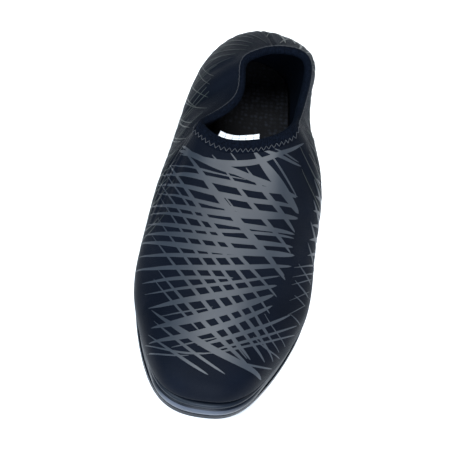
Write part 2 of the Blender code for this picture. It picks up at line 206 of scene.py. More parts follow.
# Strokes of the print on the vamp. across runs from the ridge of the instep, negative towards the big
# toe, in shares of BALL_WIDTH; down is the distance from the heel in shares of LENGTH. Width and bow
# are shares of LENGTH, and fullest is the place along the stroke where it is widest. The strokes of
# the outer side start past a plain band.
# Columns: from_across, from_down, to_across, to_down, width, fullest, bow
ACROSS = (
    (-0.34, 0.494, 0.38, 0.436, 0.014, 0.38, 0.029),
    (-0.41, 0.478, 0.02, 0.522, 0.013, 0.34, 0.004),
    (-0.38, 0.492, 0.37, 0.567, 0.014, 0.55, -0.012),
    (-0.27, 0.521, 0.05, 0.531, 0.003, 0.5, 0),
    (-0.46, 0.519, -0.12, 0.527, 0.004, 0.5, 0),
    (-0.5, 0.545, 0.38, 0.564, 0.015, 0.58, -0.011),
    (-0.54, 0.57, 0.39, 0.59, 0.012, 0.58, -0.008),
    (-0.5, 0.592, 0.4, 0.613, 0.01, 0.66, -0.004),
    (-0.54, 0.624, 0.4, 0.615, 0.014, 0.6, -0.006),
    (-0.52, 0.643, 0.39, 0.651, 0.012, 0.64, -0.014),
    (-0.16, 0.654, 0.39, 0.66, 0.007, 0.6, -0.007),
    (-0.52, 0.668, 0.1, 0.65, 0.01, 0.45, -0.002),
    (-0.52, 0.693, 0.39, 0.68, 0.014, 0.5, -0.015),
    (-0.56, 0.713, 0.41, 0.698, 0.016, 0.66, -0.009),
    (-0.54, 0.744, 0.1, 0.704, 0.009, 0.55, -0.004),
    (-0.56, 0.777, 0.4, 0.721, 0.012, 0.58, -0.011),
    (-0.47, 0.8, 0.06, 0.754, 0.008, 0.55, -0.008),
    (-0.44, 0.822, 0.33, 0.744, 0.007, 0.6, -0.008),
    (-0.4, 0.848, 0.32, 0.765, 0.014, 0.56, -0.008),
    (-0.33, 0.86, -0.03, 0.821, 0.003, 0.5, 0),
    (-0.36, 0.888, 0.31, 0.785, 0.018, 0.5, 0),
    (-0.36, 0.918, 0.31, 0.808, 0.013, 0.48, 0.006),
    (-0.22, 0.919, -0.06, 0.893, 0.003, 0.5, 0),
    (-0.1, 0.898, 0.02, 0.883, 0.003, 0.5, 0),
    (-0.08, 0.905, 0.44, 0.828, 0.009, 0.4, 0),
    (0.0, 0.912, 0.5, 0.852, 0.006, 0.35, -0.004),
    (0.0, 0.918, 0.5, 0.87, 0.005, 0.3, -0.003),
    (-0.4, 0.92, 0.02, 0.915, 0.004, 0.6, 0.008),
    (-0.39, 0.934, -0.12, 0.928, 0.003, 0.5, 0.005),
)
SLANTS = (
    (0.15, 0.46, 0.37, 0.562, 0.004, 0.5, 0),
    (0.06, 0.459, 0.4, 0.603, 0.02, 0.52, 0),
    (0.11, 0.458, 0.38, 0.491, 0.008, 0.4, 0.002),
    (0.19, 0.458, 0.36, 0.482, 0.004, 0.4, 0),
    (-0.07, 0.472, 0.0, 0.499, 0.003, 0.4, 0),
    (-0.17, 0.487, -0.1, 0.507, 0.003, 0.4, 0),
    (-0.4, 0.462, -0.26, 0.499, 0.006, 0.5, 0),
    (0.04, 0.504, 0.39, 0.646, 0.01, 0.5, 0),
    (-0.1, 0.508, 0.38, 0.693, 0.009, 0.5, 0),
    (-0.34, 0.488, 0.37, 0.752, 0.015, 0.45, -0.002),
    (-0.07, 0.57, 0.02, 0.604, 0.003, 0.5, 0),
    (-0.47, 0.508, 0.33, 0.789, 0.009, 0.42, 0.004),
    (-0.46, 0.54, 0.3, 0.825, 0.007, 0.62, -0.004),
    (-0.5, 0.56, 0.34, 0.885, 0.007, 0.62, -0.008),
    (-0.46, 0.6, 0.37, 0.923, 0.007, 0.6, -0.003),
    (-0.44, 0.652, 0.31, 0.927, 0.008, 0.6, -0.004),
    (-0.46, 0.692, 0.22, 0.925, 0.008, 0.62, -0.006),
    (-0.38, 0.763, 0.21, 0.936, 0.009, 0.62, 0),
    (-0.4, 0.784, -0.08, 0.875, 0.005, 0.6, 0),
    (-0.38, 0.85, 0.32, 0.957, 0.014, 0.52, 0),
    (-0.35, 0.872, 0.09, 0.956, 0.006, 0.5, 0),
    (-0.37, 0.902, 0.0, 0.96, 0.006, 0.62, 0),
    (0.05, 0.855, 0.2, 0.923, 0.003, 0.5, 0.003),
    (0.15, 0.831, 0.26, 0.872, 0.003, 0.5, 0),
    (0.2, 0.826, 0.4, 0.905, 0.003, 0.4, 0.003),
    (0.27, 0.826, 0.44, 0.893, 0.002, 0.5, 0.003),
    (0.22, 0.876, 0.42, 0.915, 0.003, 0.4, 0.006),
    (0.1, 0.925, 0.38, 0.935, 0.004, 0.4, 0.006),
    (0.2, 0.69, 0.36, 0.742, 0.005, 0.4, 0),
)
OUTER_SIDE = (
    (0.42, 0.724, 0.6, 0.718, 0.004, 0.7, 0),
    (0.42, 0.745, 0.6, 0.737, 0.003, 0.7, 0),
    (0.42, 0.762, 0.57, 0.752, 0.003, 0.6, 0),
    (0.42, 0.797, 0.56, 0.78, 0.002, 0.6, 0),
    (0.42, 0.828, 0.54, 0.81, 0.002, 0.6, 0),
    (0.45, 0.716, 0.57, 0.764, 0.003, 0.6, 0),
    (0.44, 0.753, 0.56, 0.794, 0.003, 0.6, 0),
    (0.45, 0.786, 0.54, 0.812, 0.002, 0.6, 0),
    (0.44, 0.828, 0.53, 0.85, 0.002, 0.6, 0),
    (0.5, 0.48, 0.72, 0.54, 0.006, 0.45, 0),
    (0.5, 0.518, 0.72, 0.562, 0.008, 0.45, 0),
    (0.51, 0.56, 0.72, 0.588, 0.009, 0.45, 0),
    (0.51, 0.594, 0.72, 0.606, 0.009, 0.45, 0),
    (0.51, 0.627, 0.72, 0.628, 0.008, 0.45, 0),
    (0.51, 0.661, 0.7, 0.652, 0.009, 0.45, 0),
    (0.51, 0.697, 0.68, 0.684, 0.007, 0.45, 0),
    (0.48, 0.47, 0.66, 0.585, 0.006, 0.5, 0),
    (0.49, 0.52, 0.66, 0.625, 0.006, 0.5, 0),
    (0.5, 0.57, 0.66, 0.665, 0.006, 0.5, 0),
    (0.5, 0.62, 0.64, 0.705, 0.006, 0.5, 0),
    (0.5, 0.668, 0.6, 0.73, 0.004, 0.5, 0),
)

# The part of the way round with these strokes. down grows by this share of LENGTH one BALL_WIDTH out.
VAMP_ROUND = (0.27, 0.75)
VAMP_BEND = 0.2

# Strokes of the quarters: each row is a fan of leaning strokes. first, last and lean are shares of the
# way round, low and high shares of the wall, and width is in shares of LENGTH.
# Columns: first, last, count, lean, low, high, width
FANS = (
    (0.085, 0.3, 18, 0.05, 0.15, 0.76, 0.002),
    (0.12, 0.335, 18, -0.05, 0.12, 0.72, 0.0018),
    (0.03, 0.1, 6, -0.02, 0.25, 0.9, 0.0016),
    (0.75, 0.86, 10, -0.04, 0.12, 0.88, 0.0028),
    (0.735, 0.85, 10, 0.035, 0.1, 0.8, 0.0024),
    (0.9, 0.985, 7, -0.01, 0.16, 0.95, 0.008),
    (0.85, 0.96, 6, 0.045, 0.2, 0.85, 0.003),
)
FAN_SEED = 11
FAN_FULLEST = 0.55
FAN_CUT = 0.1

# What chance adds to a fan's strokes: shares of the way round, of the wall and of the width
FAN_SHIFT = 0.004
FAN_LOW_SHIFT = 0.07
FAN_HIGH_SHIFT = 0.08
FAN_WIDTH_SHIFT = 0.35

# Metres to one turn and to the wall's height on the quarters' flat map, as seen from outside
QUARTER_SCALE = (-0.66, 0.060)

# Steps and taper of a stroke. It is a film over the cloth, higher by a step in each layer, with its
# feet sunk in.
STROKE_STEP = 0.0017
STROKE_LEAST_STEPS = 6
STROKE_START_POWER = 0.70
STROKE_END_POWER = 0.42
FILM_HEIGHT = 0.00014
FILM_STEP = 0.00004
FILM_SINK = 0.00012
FILM_LEAST_HALF = 0.00012

# Rows of the binding as shares of its legs, and lines of the wall that it follows
OUTER_LEG = (1.0, 0.96, 0.88, 0.78, 0.66, 0.52, 0.38, 0.24, 0.12, 0.0)
INNER_LEG = (0.0, 0.12, 0.26, 0.42, 0.58, 0.74, 0.88, 0.96, 1.0)
BINDING_LINES = np.linspace(0, 1, 7)

# Shares of the way round, from the toe, between which the binding narrows
BINDING_NARROWS = (0.20, 0.27)

# The legs thin towards their edges, and the outer one swells in its middle, in binding thicknesses
LEG_THINS = (0.88, 1.0)
OUTER_THINNER = 0.75
INNER_THINNER = 0.7
OUTER_SWELL = 0.28

# Reach of the fold past the wall's faces and over its edge, in binding thicknesses and gaps
FOLD_POINTS = 9
FOLD_OUT = 0.8
FOLD_OVER = 1.15
FOLD_OVER_GAP = 0.2

# Zigzag stitches between two shares of the outer leg, and the points that measure the rim
ZIGZAG_PITCH = 0.0030
ZIGZAG_FROM = 0.66
ZIGZAG_TO = 0.98
ZIGZAG_STEPS = 6
RIM_POINTS = 2001

# Round thread, with its height over the cloth and its arch in binding thicknesses
THREAD_RADIUS = 0.00023
THREAD_SIDES = 5
THREAD_LOW = 0.7
THREAD_RISE = 0.35
THREAD_ARCH = 0.35

# Rounding of the cup's top edge, of which the first is a share of CUP_WALL
CROWN_IN = 0.35
CROWN_UP = 0.00015
CROWN_INNER_DOWN = 0.0001

# Rings of the insole's top, as shares of the way from its edge to a middle line, with how far its edge
# is rounded and its dish deepens. The line's ends are shares of LENGTH.
INSOLE_RINGS = (0.0, 0.004, 0.012, 0.024, 0.05, 0.10, 0.18, 0.28, 0.40, 0.54, 0.68, 0.82, 0.94)
INSOLE_MIDDLE = (0.12, 0.86)
INSOLE_ROUNDED = 0.024
INSOLE_DISHED = 0.8
INSOLE_DISH = 0.25

# Lines and steps of the label
LABEL_LINES = 15
LABEL_STEPS = 13

# Camera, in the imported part's frame. It looks from above the toe, a little from the big-toe side.
CAMERA_PLACE = (-0.0372, -0.4151, 0.5628)
CAMERA_TARGET = (-0.0046, -0.0211, 0.0300)
CAMERA_ROLL = 11.05
CAMERA_LENS = 88.49
CAMERA_CLIP = (0.01, 50.0)

# Round area lights that look at one place. Columns: name, place, size, power, color
LIGHTS = (
    ("top", (0.05, -0.06, 1.50), 0.85, 29.0, (0.94, 0.97, 1.0)),
    ("left", (-0.90, -0.75, 1.05), 0.80, 30.0, (0.80, 0.92, 1.0)),
    ("right", (1.20, 0.00, 0.60), 0.70, 5.0, (0.90, 0.95, 1.0)),
    ("front", (0.05, -1.30, 0.60), 0.60, 34.0, (0.78, 0.86, 1.0)),
    ("back", (0.55, 1.20, 0.70), 0.80, 5.0, (0.88, 0.98, 0.96)),
)
LIGHT_TARGET = (0.0, 0.0, 0.03)
WORLD_COLOR = (0.97, 0.985, 1.0, 1)
WORLD_STRENGTH = 0.14

# Half the floor's side, and its depth under the tread
FLOOR_HALF = 6.0
FLOOR_DROP = 0.0002

# Colours, in linear light
KNIT = (0.0017, 0.003, 0.0062)
KNIT_DARK = (0.001, 0.0019, 0.0042)
LINING = (0.001, 0.0015, 0.003)
PRINT = (0.01, 0.0145, 0.0215)
PRINT_DARK = (0.008, 0.0115, 0.017)
QUARTER_PRINT = (0.011, 0.0155, 0.0142)
QUARTER_PRINT_DARK = (0.007, 0.0095, 0.0105)
ELASTIC = (0.0022, 0.0036, 0.0072)
ELASTIC_DARK = (0.0005, 0.0009, 0.002)
THREAD = (0.0048, 0.0068, 0.011)
RUBBER = (0.004, 0.0062, 0.0105)
RUBBER_DARK = (0.0024, 0.0038, 0.0068)
# Painted highlights at the toe: the lit bulge of the bumper, and the light line along its bead
BUMPER_HIGHLIGHT = (0.048, 0.056, 0.073)
BEAD_HIGHLIGHT = (0.006, 0.009, 0.0135)
FOAM = (0.01, 0.012, 0.0165)
FOAM_DARK = (0.002, 0.0022, 0.003)
LABEL = (0.8, 0.82, 0.85)
LABEL_DARK = (0.62, 0.65, 0.7)
LABEL_RULE = (0.2, 0.22, 0.26)
RIM_BLUE = (0.45, 0.66, 1.0)
FLOOR = (0.9, 0.9, 0.9)

# Where the rubber's colour turns, from none to all of it, towards the toe and to its inner side: there
# the bulge and the bead take their painted highlights, and the plain rubber turns darker
TOE_TURNS = (("Y", -0.125, -0.134), ("X", 0.024, -0.004))

# Noise runs mostly between these values
NOISE_LOW = 0.3
NOISE_HIGH = 0.7


def column(table, columns, name):
    return np.array([row[columns.index(name)] for row in table])


def round_curve(values, turns):
    """Smooth closed curve through the stations' values, at shares of the way round."""
    count = len(values)
    step = np.eye(count)
    neighbours = np.roll(step, 1, 0) + np.roll(step, -1, 0)
    bend = np.linalg.solve(4 * step + neighbours, 6 * (neighbours - 2 * step) @ values)
    place = np.mod(turns, 1) * count
    low = np.floor(place).astype(int) % count
    high = (low + 1) % count
    part = (place - np.floor(place))[:, None]
    rest = 1 - part
    straight = values[low] * rest + values[high] * part
    return straight + ((rest**3 - rest) * bend[low] + (part**3 - part) * bend[high]) / 6


def along_curve(name, along):
    """Height of the sole at distances from the heel, smooth and without overshoot."""
    places = column(SOLE_HEIGHTS, SOLE_COLUMNS, "along") * LENGTH
    values = column(SOLE_HEIGHTS, SOLE_COLUMNS, name) * INSTEP_HEIGHT
    steps = np.diff(places)
    rises = np.diff(values) / steps
    slopes = np.zeros(len(places))
    same = rises[:-1] * rises[1:] > 0
    slopes[1:-1][same] = (2 * rises[:-1] * rises[1:])[same] / (rises[:-1] + rises[1:])[same]
    slopes[-1] = rises[-1]
    along = np.clip(along, places[0], places[-1])
    low = np.clip(np.searchsorted(places, along, "right") - 1, 0, len(steps) - 1)
    part = (along - places[low]) / steps[low]
    rest = 1 - part
    ends = values[low] * rest**2 * (1 + 2 * part) + values[low + 1] * part**2 * (3 - 2 * part)
    bends = slopes[low] * rest**2 * part - slopes[low + 1] * part**2 * rest
    return ends + bends * steps[low]


def smooth_step(value, start, end):
    part = np.clip((value - start) / (end - start), 0, 1)
    return part * part * (3 - 2 * part)


def turns_of(count):
    return np.arange(count) / count


def unit(vectors):
    """The vectors, scaled to a length of one."""
    return vectors / np.linalg.norm(vectors, axis=-1, keepdims=True)


def station(name):
    return column(STATIONS, STATION_COLUMNS, name)


def outline(turns, inset):
    """The sole's outline moved inwards, as (side, along) pairs."""
    loop = np.column_stack([station("sole_side") * BALL_WIDTH, station("sole_along") * LENGTH])
    way = unit(round_curve(loop, turns + SMALL) - round_curve(loop, turns - SMALL))
    inward = np.column_stack([way[:, 1], -way[:, 0]])
    return round_curve(loop, turns) + inward * np.reshape(inset, (-1, 1))


def lifted(loop, height):
    return np.column_stack([loop, np.broadcast_to(height, len(loop))])


def wall_guides():
    """The four guide points of the upper's wall at every station: foot, belly, lead and rim."""
    loop = outline(turns_of(len(STATIONS)), CUP_WALL + GAP)
    middle = np.column_stack(
        [np.zeros(len(loop)), np.clip(loop[:, 1], MIDDLE_FROM * LENGTH, MIDDLE_TO * LENGTH)]
    )
    lean = unit(middle - loop)
    foot = lifted(loop, along_curve("edge", loop[:, 1]))
    belly_up = along_curve("floor", loop[:, 1]) + station("rise") * INSTEP_HEIGHT
    belly = lifted(loop - lean * station("belly")[:, None] * BALL_WIDTH, belly_up)
    rim = np.column_stack([station("rim_side"), station("rim_along"), station("rim_up")])
    rim *= (BALL_WIDTH, LENGTH, INSTEP_HEIGHT)
    way = rim[:, :2] - loop
    far = np.linalg.norm(way, axis=1)[:, None]
    turn = np.clip((far / BALL_WIDTH - LEAN_FROM) / LEAN_RANGE, 0, 1)
    level = unit(lean * (1 - turn) + way / far * turn) * station("reach")[:, None] * BALL_WIDTH
    lead = rim - lifted(level, station("climb") * INSTEP_HEIGHT)
    return foot, belly, lead, rim


GUIDES = wall_guides()


def wall(turns, shares):
    """Points of the upper's outer face above the sole; shares run from the sole's edge to the rim."""
    foot, belly, lead, rim = (round_curve(guide, turns) for guide in GUIDES)
    part = np.reshape(shares, (-1, 1))
    rest = 1 - part
    return rest**3 * foot + 3 * rest**2 * part * belly + 3 * rest * part**2 * lead + part**3 * rim


def wall_outward(turns, shares):
    """Unit vectors square to the upper's outer face."""
    round_way = wall(turns + SMALL, shares) - wall(turns - SMALL, shares)
    up_way = wall(turns, shares + SMALL) - wall(turns, shares - SMALL)
    return unit(np.cross(up_way, round_way))


def binding_shown(turns):
    """The share of the binding's outer leg that is there: all of it over the throat, less elsewhere."""
    from_toe = np.abs(np.mod(turns, 1) - 0.5)
    return 1 - (1 - BINDING_SIDE_SHOWN) * smooth_step(from_toe, *BINDING_NARROWS)


def leg_share(turns):
    """The share of the wall, down from the rim, that the binding's width takes up."""
    step = wall(turns, 1) - wall(turns, 1 - SMALL)
    return BINDING_LEG / np.linalg.norm(step, axis=1) * SMALL


# The functions' own axes are side, along and up. The part's Y runs against along.
TO_PART = (1, -1, 1)

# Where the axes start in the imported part: its tread has the sole's widest outline
tread_low, tread_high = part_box("tread")
widest = outline(turns_of(TREAD_ROUND), -TREAD_STEP)
SHIFT = np.array(
    [
        tread_low[0] - widest[:, 0].min(),
        tread_high[1] + widest[:, 1].min(),
        tread_low[2] - along_curve("under", widest[:, 1]).min(),
    ]
)


# Materials


class Shader:
    """Nodes of one material, added one by one."""

    def __init__(self, name, color, roughness):
        self.material = bpy.data.materials.new(name)
        self.material.use_nodes = True
        self.tree = self.material.node_tree
        self.surface = self.tree.nodes["Principled BSDF"]
        self.set(self.surface, {"Base Color": (*color, 1), "Roughness": roughness})

    def set(self, node, sockets):
        for name, value in sockets.items():
            if isinstance(value, bpy.types.NodeSocket):
                self.tree.links.new(value, node.inputs[name])
            else:
                node.inputs[name].default_value = value

    def node(self, kind, sockets=None, **settings):
        made = self.tree.nodes.new("ShaderNode" + kind)
        for name, value in settings.items():
            setattr(made, name, value)
        self.set(made, sockets or {})
        return made

    def math(self, operation, first, second=0.0):
        return self.node("Math", {0: first, 1: second}, operation=operation).outputs[0]

    def place(self):
        """Place on the object, in metres."""
        return self.node("TexCoord").outputs["Object"]

    def cloth(self):
        """Place on the cloth, in metres."""
        return self.node("UVMap").outputs["UV"]

    def noise(self, scale, detail):
        sockets = {"Vector": self.place(), "Scale": scale, "Detail": detail}
        return self.node("TexNoise", sockets).outputs["Fac"]

    def wave(self, axis, pitch):
        """Sine wave along the cloth's own X or Y."""
        split = self.node("SeparateXYZ", {"Vector": self.cloth()})
        return self.math("SINE", self.math("MULTIPLY", split.outputs[axis], 2 * math.pi / pitch))

    def weave(self, pitch):
        """Height of a fine knit: two crossing waves, the second one finer."""
        return self.math("MULTIPLY", self.wave("X", pitch), self.wave("Y", pitch * 0.7))

    def spread(self, value, low, high):
        """The value, about a half, widened to run from low to high."""
        ends = {"From Min": NOISE_LOW, "From Max": NOISE_HIGH, "To Min": low, "To Max": high}
        return self.node("MapRange", {"Value": value, **ends}).outputs["Result"]

    def blend(self, share, first, second):
        """Mix of two colours, each a socket or plain: the node's inputs 6 and 7 and its output 2."""
        ends = [c if isinstance(c, bpy.types.NodeSocket) else (*c, 1) for c in (first, second)]
        sockets = {"Factor": share, 6: ends[0], 7: ends[1]}
        return self.node("Mix", sockets, data_type="RGBA").outputs[2]

    def mottle(self, patch, dark, light):
        """Patches of two colours."""
        return self.blend(self.spread(patch, 0.0, 1.0), dark, light)

    def bump(self, height, strength, distance, **under):
        sockets = {"Height": height, "Strength": strength, "Distance": distance, **under}
        return self.node("Bump", sockets).outputs["Normal"]

    def finish(self, **sockets):
        self.set(self.surface, {name.replace("_", " "): value for name, value in sockets.items()})
        return self.material


def make_knit():
    shader = Shader("printed_knit", KNIT, roughness=0.52)
    patch = shader.noise(scale=38.0, detail=2.0)
    grain = shader.noise(scale=2600.0, detail=2.0)
    weave = shader.bump(shader.weave(pitch=0.0011), strength=0.35, distance=0.00012)
    return shader.finish(
        Base_Color=shader.mottle(patch, KNIT_DARK, KNIT),
        Roughness=shader.spread(patch, 0.46, 0.60),
        Normal=shader.bump(grain, strength=0.25, distance=0.0001, Normal=weave),
        Specular_IOR_Level=0.032,
        Sheen_Weight=0.008,
        Sheen_Roughness=0.30,
        Sheen_Tint=(*RIM_BLUE, 1),
    )


def make_lining():
    shader = Shader("knit_lining", LINING, roughness=0.85)
    return shader.finish(
        Base_Color=shader.mottle(shader.noise(scale=60.0, detail=2.0), KNIT_DARK, LINING),
        Normal=shader.bump(shader.weave(pitch=0.0013), strength=0.6, distance=0.0002),
        Specular_IOR_Level=0.015,
        Sheen_Weight=0.004,
        Sheen_Tint=(*RIM_BLUE, 1),
    )


def make_print(name, light, dark):
    shader = Shader(name, light, roughness=0.44)
    patch = shader.noise(scale=24.0, detail=2.0)
    grain = shader.noise(scale=2200.0, detail=2.0)
    return shader.finish(
        Base_Color=shader.mottle(patch, dark, light),
        Roughness=shader.spread(patch, 0.42, 0.50),
        Normal=shader.bump(grain, strength=0.2, distance=0.0001),
        Specular_IOR_Level=0.38,
    )


def make_elastic():
    """Ribbed elastic, with finer cords across its ribs."""
    shader = Shader("elastic_band", ELASTIC, roughness=0.72)
    ribs = shader.bump(shader.wave("X", pitch=0.0012), strength=0.5, distance=0.00018)
    cords = shader.wave("Y", pitch=0.0010)
    return shader.finish(
        Base_Color=shader.mottle(shader.noise(scale=900.0, detail=3.0), ELASTIC_DARK, ELASTIC),
        Normal=shader.bump(cords, strength=0.4, distance=0.00012, Normal=ribs),
        Specular_IOR_Level=0.015,
        Sheen_Weight=0.004,
        Sheen_Tint=(*RIM_BLUE, 1),
    )


def make_thread():
    shader = Shader("thread", THREAD, roughness=0.55)
    grain = shader.noise(scale=3000.0, detail=2.0)
    return shader.finish(Normal=shader.bump(grain, strength=0.4, distance=0.0001))


def make_rubber(name, toe_color):
    """Black rubber, turning to another colour towards the toe: a painted highlight on the bumper's bulge
    and bead, a darker tone on the plain rubber.
    """
    shader = Shader(name, RUBBER, roughness=0.36)
    patch = shader.noise(scale=55.0, detail=4.0)
    grain = shader.noise(scale=1500.0, detail=3.0)
    place = shader.node("SeparateXYZ", {"Vector": shader.place()})
    # Share of the toe's colour, patchy with noise: the painted highlight on the bulge and the bead, the
    # darker tone on the plain rubber
    at_toe = shader.spread(patch, 0.7, 1.0)
    for axis, start, end in TOE_TURNS:
        ends = {"Value": place.outputs[axis], "From Min": start, "From Max": end}
        share = shader.node("MapRange", ends, interpolation_type="SMOOTHSTEP").outputs["Result"]
        at_toe = shader.math("MULTIPLY", at_toe, share)
    return shader.finish(
        Base_Color=shader.blend(at_toe, shader.mottle(patch, RUBBER_DARK, RUBBER), toe_color),
        Roughness=shader.spread(patch, 0.30, 0.46),
        Normal=shader.bump(grain, strength=0.18, distance=0.00012),
        Specular_IOR_Level=0.09,
    )


def make_foam():
    """Black insole cover with an open mesh of small rounded holes."""
    shader = Shader("insole_foam", FOAM, roughness=0.85)
    sockets = {"Vector": shader.place(), "Scale": 300.0, "Randomness": 0.40}
    cells = shader.node("TexVoronoi", sockets).outputs["Distance"]
    ends = {"Value": cells, "From Min": 0.25, "From Max": 0.5, "To Min": 1.0, "To Max": 0.0}
    holes = shader.node("MapRange", ends).outputs["Result"]
    worn = shader.spread(shader.noise(scale=150.0, detail=3.0), 0.0, 1.0)
    return shader.finish(
        Base_Color=shader.blend(shader.math("MULTIPLY", holes, worn), FOAM_DARK, FOAM),
        Normal=shader.bump(holes, strength=0.6, distance=0.0005),
        Specular_IOR_Level=0.15,
    )


def make_label_cloth():
    """White tape with ruled boxes."""
    shader = Shader("woven_label", LABEL, roughness=0.7)
    sockets = {
        "Vector": shader.cloth(),
        "Color1": (*LABEL, 1),
        "Color2": (*LABEL_DARK, 1),
        "Mortar": (*LABEL_RULE, 1),
        "Scale": 1.0,
        "Mortar Size": 0.00022,
        "Brick Width": 0.0046,
        "Row Height": 0.0031,
    }
    return shader.finish(
        Base_Color=shader.node("TexBrick", sockets, offset=0.0).outputs["Color"],
        Normal=shader.bump(shader.weave(pitch=0.0006), strength=0.5, distance=0.0001),
    )


def link(name, data):
    """A new object in the scene."""
    made = bpy.data.objects.new(name, data)
    bpy.context.scene.collection.objects.link(made)
    return made


def add_piece(name, points, faces, materials, uvs=None, face_materials=None):
    """A mesh piece that rides on the part. uvs has a pair for every corner of every face."""
    mesh = bpy.data.meshes.new(name)
    mesh.from_pydata((np.reshape(points, (-1, 3)) * TO_PART + SHIFT).tolist(), [], faces)
    if uvs is not None:
        layer = mesh.uv_layers.new(name="cloth")
        layer.data.foreach_set("uv", np.asarray(uvs, np.float32).ravel())
    for material in materials:
        mesh.materials.append(material)
    if face_materials is not None:
        mesh.polygons.foreach_set("material_index", face_materials)
    mesh.shade_smooth()
    mesh.validate()
    made = link(name, mesh)
    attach(made, "root")
    return made


def loft_faces(rows, count, closed_rows=False, closed_rings=True):
    """Quads between rings of the same count, as an array of four corners each."""
    row = np.arange(rows if closed_rows else rows - 1)[:, None]
    each = np.arange(count if closed_rings else count - 1)
    corners = ((row, each), (row + 1, each), (row + 1, each + 1), (row, each + 1))
    return np.column_stack([(r % rows * count + c % count).ravel() for r, c in corners])


def lengths_to(steps):
    """Length up to each point, from the steps between them."""
    return np.concatenate([[0], np.cumsum(steps)])


def loft_uvs(grid):
    """Cloth coordinates in metres for every corner of the faces of a loft with closed rows."""
    rows, count, _ = grid.shape
    up = lengths_to(np.linalg.norm(np.roll(grid, -1, 0) - grid, axis=2).mean(1))
    ring = grid[rows // 2]
    across = lengths_to(np.linalg.norm(np.roll(ring, -1, 0) - ring, axis=1))
    r, c = np.indices((rows, count)).reshape(2, -1)
    corners = ((r, c), (r + 1, c), (r + 1, c + 1), (r, c + 1))
    return np.stack([np.column_stack([across[b], up[a]]) for a, b in corners], axis=1)


def bell(away, width):
    return np.exp(-((away / width) ** 2))


def crease_lift(points):
    """How far each point of the wall moves out for the creases and the seam at the back."""
    lift = np.zeros(len(points))
    share = np.linspace(0, 1, CREASE_POINTS)
    for from_round, from_up, to_round, to_up, width, depth in CREASES:
        line = wall(from_round + (to_round - from_round) * share, from_up + (to_up - from_up) * share)
        away, along = from_line(points, line)
        fade = np.sin(np.pi * np.clip(along, 0, 1)) ** CREASE_FADE
        lift += depth * BALL_WIDTH * fade * bell(away, width * BALL_WIDTH)
    seam = wall(np.zeros(SEAM_POINTS), np.linspace(SEAM_FOOT, 1, SEAM_POINTS))
    away, _ = from_line(points, seam)
    lift -= SEAM_DEPTH * bell(away, SEAM_WIDTH)
    lift += SEAM_RIDGE_SHARE * SEAM_DEPTH * bell(away - SEAM_RIDGE_AWAY * SEAM_WIDTH, SEAM_WIDTH)
    return lift


def crease_hold(share):
    """None of the creases at the wall's foot and rim, and all of them between."""
    return smooth_step(share, *CREASES_START) * (1 - smooth_step(share, *CREASES_END))


def overhang(turns, share):
    """How far the cloth round the toe bulges out over the sole's edge."""
    along = outline(turns, 0)[:, 1] / LENGTH
    tip = OVERHANG_LOST_AT_TIP * smooth_step(along, *OVERHANG_ENDS)
    sides = smooth_step(along, *OVERHANG_STARTS) * (1 - tip)
    up = smooth_step(share, *OVERHANG_RISE) * (1 - smooth_step(share, *OVERHANG_FALL))
    return OVERHANG * sides * up


def from_line(points, line):
    """Distance of every point from a line of points, and the share of the line where it is nearest."""
    best = np.full(len(points), np.inf)
    place = np.zeros(len(points))
    for index, (start, end) in enumerate(zip(line[:-1], line[1:])):
        way = end - start
        part = np.clip((points - start) @ way / (way @ way), 0, 1)
        away = np.linalg.norm(points - start - part[:, None] * way, axis=1)
        nearer = away < best
        best[nearer] = away[nearer]
        place[nearer] = (index + part[nearer]) / (len(line) - 1)
    return best, place


def upper_grids():
    """Outer and inner faces of the upper as grids of points, with the wall's shares of the outer one."""
    turns = turns_of(ROUND)
    loop = outline(turns, CUP_WALL + GAP)
    inner_loop = outline(turns, CUP_WALL + GAP + UPPER_WALL)
    base = along_curve("floor", loop[:, 1]) + GAP
    shares = np.linspace(0, 1, OUTER_ROWS - 1)
    outer = [lifted(loop, base)]
    for share in shares:
        face = wall(turns, share)
        lift = crease_lift(face) * crease_hold(share) + overhang(turns, share)
        outer.append(face + wall_outward(turns, share) * lift[:, None])
    inner = []
    for share in np.linspace(1, 0, INNER_ROWS - 1):
        face = wall(turns, share)
        outward = wall_outward(turns, share)
        if share == 0:
            outward = -lifted(inner_loop - loop, 0) / UPPER_WALL
        lift = crease_lift(face) * crease_hold(share) - UPPER_WALL
        inner.append(face + outward * lift[:, None])
    inner.append(lifted(inner_loop, base))
    return np.array(outer), np.array(inner), np.concatenate([[0], shares])


def make_upper(outer, inner, knit, lining):
    grid = np.concatenate([outer, inner])
    faces = loft_faces(len(grid), ROUND, closed_rows=True)
    inside = (np.arange(len(faces)) // ROUND >= OUTER_ROWS - 1).astype(np.int32)
    uvs = loft_uvs(grid)
    made = add_piece("knit_upper", grid, faces.tolist(), [knit, lining], uvs, inside)
    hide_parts("upper")


class Chart:
    """A flat map of the upper's outer face, to lay strokes drawn on it in metres onto the shoe."""

    def __init__(self, *grids):
        """The grids hold the flat places, the places on the shoe, and the outward ways there."""
        flat, self.solid, self.outward = (grid.reshape(-1, grid.shape[2]) for grid in grids)
        self.flat = np.column_stack([flat, np.zeros(len(flat))])
        quads = loft_faces(*grids[0].shape[:2], closed_rings=False)
        self.triangles = np.concatenate([quads[:, :3], quads[:, [0, 2, 3]]])
        self.tree = BVHTree.FromPolygons(self.flat.tolist(), self.triangles.tolist())

    def find(self, point):
        """The place on the shoe and the outward way there, or None off the map."""
        hit, _, index, _ = self.tree.ray_cast(Vector((*point, 1.0)), Vector((0, 0, -1)))
        if hit is None:
            return None
        corners = self.triangles[index]
        flat = [Vector(self.flat[c]) for c in corners]
        place = barycentric_transform(hit, *flat, *[Vector(self.solid[c]) for c in corners])
        way = barycentric_transform(hit, *flat, *[Vector(self.outward[c]) for c in corners])
        return np.array(place), np.array(way.normalized())


